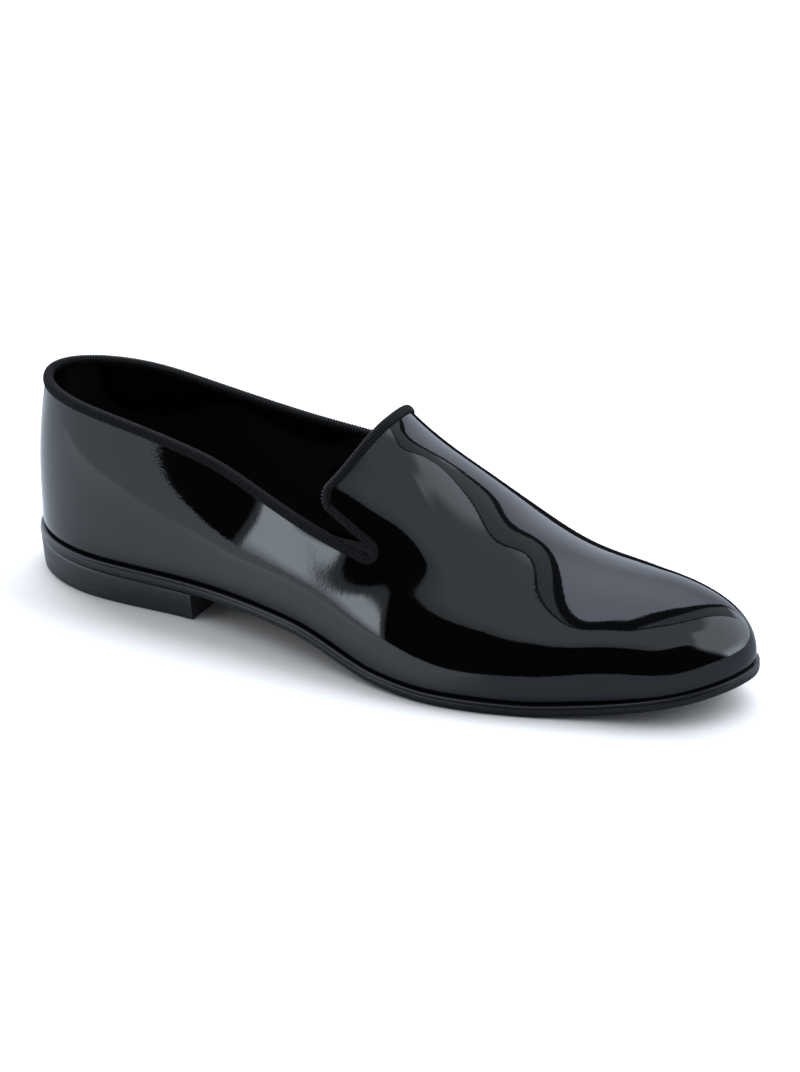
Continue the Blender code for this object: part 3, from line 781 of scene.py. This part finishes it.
# %% Patent finish
patent, shader, place = finish("patent_leather", {"IOR": 1.5, "Specular IOR Level": 0.5})
cloud = place.noise(0.05)
peel = place.noise(1.1, detail=1.0) + 0.5 * place.noise(0.42, detail=0.0)
feed(shader,
     Base_Color=cloud.mix((0.0014, 0.0014, 0.0016, 1), (0.0020, 0.0020, 0.0022, 1)),
     Roughness=0.028 + 0.02 * cloud,
     Normal=place.bump(peel, 0.006))
upper.data.materials.clear()
upper.data.materials.append(patent)

# %% [markdown]
# Ribbon, sole edge, heel, lining and sock are all black too, and told apart by their sheen: the
# ribbon is matt with fine threads, the sole's edge is waxed, and the lining is a soft matt leather.

# %% Ribbon, sole, lining and sock finishes
ribbon, shader, place = finish("grosgrain_ribbon", {"Specular IOR Level": 0.12})
thread = place.noise(5.0, detail=1.0)
feed(shader,
     Base_Color=thread.mix((0.002, 0.002, 0.0022, 1), (0.007, 0.007, 0.0075, 1)),
     Roughness=0.50 + 0.2 * thread,
     Normal=place.bump(thread, 0.02))
binding.data.materials.append(ribbon)

waxed, shader, place = finish("sole_leather", {"Specular IOR Level": 0.3})
streak = place.scaled((0.25, 1.0, 1.6)).noise(1.2, detail=3.0)
feed(shader,
     Base_Color=streak.mix((0.004, 0.004, 0.005, 1), (0.010, 0.010, 0.011, 1)),
     Roughness=0.18 + 0.14 * streak,
     Normal=place.bump(streak, 0.02))
sole.data.materials.append(waxed)

heel_finish, shader, place = finish("heel_leather", {})
layer = place.scaled((0.2, 0.2, 1.8)).noise(1.0, detail=3.0)
feed(shader,
     Base_Color=layer.mix((0.004, 0.004, 0.005, 1), (0.011, 0.011, 0.012, 1)),
     Roughness=0.34 + 0.2 * layer,
     Normal=place.bump(layer, 0.02))
heel.data.materials.append(heel_finish)

soft, shader, place = finish("sock_leather", {})
grain = place.noise(1.6, detail=3.0)
feed(shader,
     Base_Color=grain.mix((0.012, 0.012, 0.012, 1), (0.026, 0.026, 0.025, 1)),
     Roughness=0.55 + 0.15 * grain,
     Normal=place.bump(grain, 0.05))
for inner_piece in (lining, sock):
    inner_piece.data.materials.clear()
    inner_piece.data.materials.append(soft)
print("finishes:", sorted(m.name for m in (patent, ribbon, waxed, heel_finish, soft)))

# %% [markdown]
# A mirror shows its room, so the room is the light. Lamps and cards could make it, but here it is
# painted on the world by direction: its edges stay clean, and it stays put in every view. The first
# thing needed is a way to name directions. A ray that goes up meets the ceiling at over_x and over_y,
# and every ray has an azimuth and a rise, in degrees.

# %% Directions in the studio
DEGREE = np.pi / 180
LOWEST = 0.02

world = bpy.data.worlds.new("studio")
world.use_nodes = True
bpy.context.scene.world = world
room = world.node_tree
background = room.nodes["Background"]
look = Wire(room, room.nodes.new("ShaderNodeTexCoord").outputs["Generated"])
x, y, z = (look.part(axis) for axis in range(3))
up = z.maths("MAXIMUM", z, LOWEST)
over_x = x / up
over_y = y / up
azimuth = x.maths("ARCTAN2", x, -1 * y) / DEGREE
rise = z.maths("ARCSINE", z) / DEGREE

# %% [markdown]
# Overhead hangs a white box in two halves, the far one brighter. A thick dark joint parts them and a
# thin one runs beside it, and both show as dark lines along the vamp. The near half is brighter
# towards the toe. Each joint is a line on the ceiling, and its distance from a ray is a simple sum.

# %% Overhead box
FAR_LEVEL = 2.4
FAR_FALL = 1.2
NEAR_LEVEL = 0.98
NEAR_FALL = 0.3
TOE_GAIN = 1.25
BETWEEN_LEVEL = 0.65
JOINT_DARK = 0.93

thick = over_x + 0.011 - 0.169 * over_y
thin = over_x - 0.168 - 0.361 * over_y
box = over_y.step(-0.95, -0.75)
far_half = (1 - thick.step(-0.06, -0.045)) * box
near_half = thin.step(0.0, 0.02)
near_half = near_half.maths("MAXIMUM", near_half, (1 - far_half) * over_y.step(1.9, 2.6))
between = (1 - far_half) * (1 - near_half) * box
thick_joint = thick.within(-0.06, -0.045, 0.04, 0.055) * box
thin_joint = thin.within(-0.015, -0.008, 0.008, 0.015) * box
toe_side = (azimuth + 1.15 * rise.maths("MINIMUM", rise, 35)).step(82, 96)
bright = (over_x + 0.6 * over_y).step(0.34, 0.70)
bright = bright.maths("MAXIMUM", bright, toe_side * (1 - rise.step(58, 66)))
far_level = FAR_LEVEL - FAR_FALL * over_y.step(0.2, 1.6)
near_level = NEAR_LEVEL - NEAR_FALL * (1 - over_y.step(-1.6, -1.1)) + TOE_GAIN * bright
level = near_level + (far_level - near_level) * far_half + (BETWEEN_LEVEL - near_level) * between
level = level * (1 - JOINT_DARK * thick_joint) * (1 - JOINT_DARK * thin_joint)

# %% [markdown]
# Low down stand a bright spot at the toe and a tall panel at the heel, which the quarter mirrors. The
# studio behind the camera is dark, and gives the broad black band. A strip of grey wall shows between
# the heel panel and the dark.

# %% Panels and the dark studio
SPOT_LEVEL = 2.3
PANEL_FOOT = 1.2
PANEL_GAIN = 2.6
WALL_LEVEL = 0.5

toe_spot = azimuth.within(72, 90, 105, 140) * (1 - rise.step(2, 18))
heel_end = 1 - azimuth.step(-41, -38.5)
heel_panel = azimuth.step(-160, -135) * heel_end * (1 - rise.step(12, 20))
dark_edge = over_y + 1.65 - 0.75 * over_x.step(0.1, 0.7)
dark_studio = (1 - heel_end) * (1 - toe_side) * (1 - dark_edge.step(-0.05, 0.05))
wall = dark_studio * (1 - azimuth.step(-38, -36.5))
level = level + SPOT_LEVEL * toe_spot + (PANEL_FOOT + PANEL_GAIN * rise.step(-1, 5)) * heel_panel
level = level * (1 - dark_studio) + WALL_LEVEL * wall

# %% [markdown]
# Only gloss sees that room. The floor is lit by a plainer one, a soft strip overhead that lies towards
# the far side, with a little light from all round, so that the shadow falls softly towards the camera.

# %% Soft light
FILL_LEVEL = 0.1
FAR_FILL = 0.6
STRIP_LEVEL = 5.4
BOX_TINT = (0.88, 1.0, 1.11, 1)
FAR_TINT = (0.905, 1.0, 1.19, 1)
SOFT_TINT = (0.95, 1.0, 1.06, 1)

gloss = Wire(room, room.nodes.new("ShaderNodeLightPath").outputs["Is Glossy Ray"])
strip = over_y.within(0.2, 0.4, 0.9, 1.2) * over_x.within(-2.5, -2.0, 2.0, 2.5) * z.step(0.0, 0.1)
soft_light = FILL_LEVEL + FAR_FILL * y.step(-0.75, -0.35) + STRIP_LEVEL * strip
tint = gloss.mix(SOFT_TINT, far_half.mix(BOX_TINT, FAR_TINT))
strength = soft_light + (level - soft_light) * gloss
room.links.new(tint.socket, background.inputs["Color"])
room.links.new(strength.socket, background.inputs["Strength"])
print("studio:", len(room.nodes), "nodes")

# %% [markdown]
# The floor is a plain white sheet, much larger than the picture. What gloss sees of it is painted
# darker, as painted shade and a painted black reflection: grey towards the heel, darker towards the
# toe, and black beyond the shoe, so that the sides read as dark and the far outline stays black.

# %% Floor
FLOOR_HALF = 3.0
# painted shade and painted reflection: tones the floor takes only where gloss sees it
REFLECTED_SHADE_TURN = (10.0, 80.0)
PAINTED_BLACK_FROM = (80.0, 135.0)
PAINTED_BLACK_END = (110.0, 160.0)
FLOOR_WHITE = (0.90, 0.90, 0.90, 1)
REFLECTED_SHADE_PALE = (0.64, 0.69, 0.75, 1)
REFLECTED_SHADE_DARK = (0.335, 0.365, 0.42, 1)
PAINTED_BLACK_REFLECTION = (0.01, 0.01, 0.01, 1)

floor_mesh = bpy.data.meshes.new("floor")
floor_corners = [(sx * FLOOR_HALF, sy * FLOOR_HALF, 0) for sx, sy in ((-1, -1), (1, -1), (1, 1), (-1, 1))]
floor_mesh.from_pydata(floor_corners, [], [(0, 1, 2, 3)])
floor = bpy.data.objects.new("floor", floor_mesh)
bpy.context.scene.collection.objects.link(floor)
white, shader, place = finish("white_floor", {"Roughness": 0.9, "Specular IOR Level": 0.0})
gloss = Wire(place.tree, place.tree.nodes.new("ShaderNodeLightPath").outputs["Is Glossy Ray"])
to_toe = place.part(0)
across = place.part(1)
# painted shade: the floor is white, but grey in reflections, and darker towards the toe
floor_and_painted_shade = (gloss * to_toe.step(*REFLECTED_SHADE_TURN)).mix(gloss.mix(FLOOR_WHITE, REFLECTED_SHADE_PALE), REFLECTED_SHADE_DARK)
# painted reflection: the floor turns black beyond the shoe, but only in reflections
painted_black_reflection_mask = gloss * across.step(*PAINTED_BLACK_FROM) * (1 - to_toe.step(*PAINTED_BLACK_END))
feed(shader, Base_Color=painted_black_reflection_mask.mix(floor_and_painted_shade, PAINTED_BLACK_REFLECTION))
floor_mesh.materials.append(white)
print("floor:", 2 * FLOOR_HALF, "m wide")

# %% [markdown]
# The panel at the heel stands close by, so it brightens the floor under the waist more than the floor
# in front of the toe. A painted world has no near and far, so a lamp does this part. The gloss already
# sees the panel and does not see the lamp.

# %% Lamp at the heel
LAMP_PLACE = Vector((-0.30, -0.25, 0.10))
LAMP_AIM = Vector((-0.03, -0.03, 0.0))
LAMP_SIZE = 0.25
LAMP_WATTS = 0.25

lamp_light = bpy.data.lights.new("heel_lamp", "AREA")
lamp_light.size = LAMP_SIZE
lamp_light.energy = LAMP_WATTS
lamp = bpy.data.objects.new("heel_lamp", lamp_light)
lamp.location = LAMP_PLACE
lamp.rotation_euler = (LAMP_AIM - LAMP_PLACE).to_track_quat("-Z", "Y").to_euler()
lamp.visible_camera = False
lamp.visible_glossy = False
bpy.context.scene.collection.objects.link(lamp)
print("lamp:", LAMP_WATTS, "W,", round((LAMP_AIM - LAMP_PLACE).length, 2), "m from the waist")

# %% [markdown]
# The camera stands where the photographer stood, about a metre away and above, with a long lens. It
# is turned and its lens is set so that the whole shoe fits the upright frame.

# %% Camera
FRAME_SIZE = np.array([800.0, 1072.0])
AZIMUTH = 25.38 * DEGREE
ELEVATION = 25.86 * DEGREE
ROLL = -1.1 * DEGREE
STAND_OFF = 1156.4
SUBJECT = np.array([51.7, 32.2, 40.0])
FILL = 0.90
SENSOR = 36.0
AIM_ROUNDS = 4
FAR_CLIP = 20.0

flat_share = np.cos(ELEVATION)
toward = np.array([np.sin(AZIMUTH) * flat_share, -np.cos(AZIMUTH) * flat_share, np.sin(ELEVATION)])
station = SUBJECT + toward * STAND_OFF
corners = np.array([v.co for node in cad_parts.values() for v in node.data.vertices]) / MM


def camera_axes(forward):
    right = unit(np.cross(forward, (0, 0, 1)))
    above = np.cross(right, forward)
    return (np.cos(ROLL) * right + np.sin(ROLL) * above, np.cos(ROLL) * above - np.sin(ROLL) * right)


forward = -toward
for _ in range(AIM_ROUNDS):
    right, above = camera_axes(forward)
    rays = corners - station
    flat = np.stack([rays @ right, rays @ above], axis=-1) / (rays @ forward)[:, None]
    middle = (flat.min(axis=0) + flat.max(axis=0)) / 2
    forward = unit(forward + right * middle[0] + above * middle[1])
right, above = camera_axes(forward)
width = np.ptp((corners - station) @ right / ((corners - station) @ forward))

lens = bpy.data.cameras.new("camera")
lens.sensor_fit = "VERTICAL"
lens.sensor_height = SENSOR
lens.lens = SENSOR * FILL * FRAME_SIZE[0] / FRAME_SIZE[1] / width
lens.clip_end = FAR_CLIP
camera = bpy.data.objects.new("camera", lens)
bpy.context.scene.collection.objects.link(camera)
camera.matrix_world = Matrix.Translation(Vector(station * MM)) @ Matrix(
    np.array([right, above, -forward]).T.tolist()).to_4x4()
bpy.context.scene.camera = camera
bpy.context.scene.view_settings.view_transform = "Standard"
print("lens", round(lens.lens, 1), "mm")
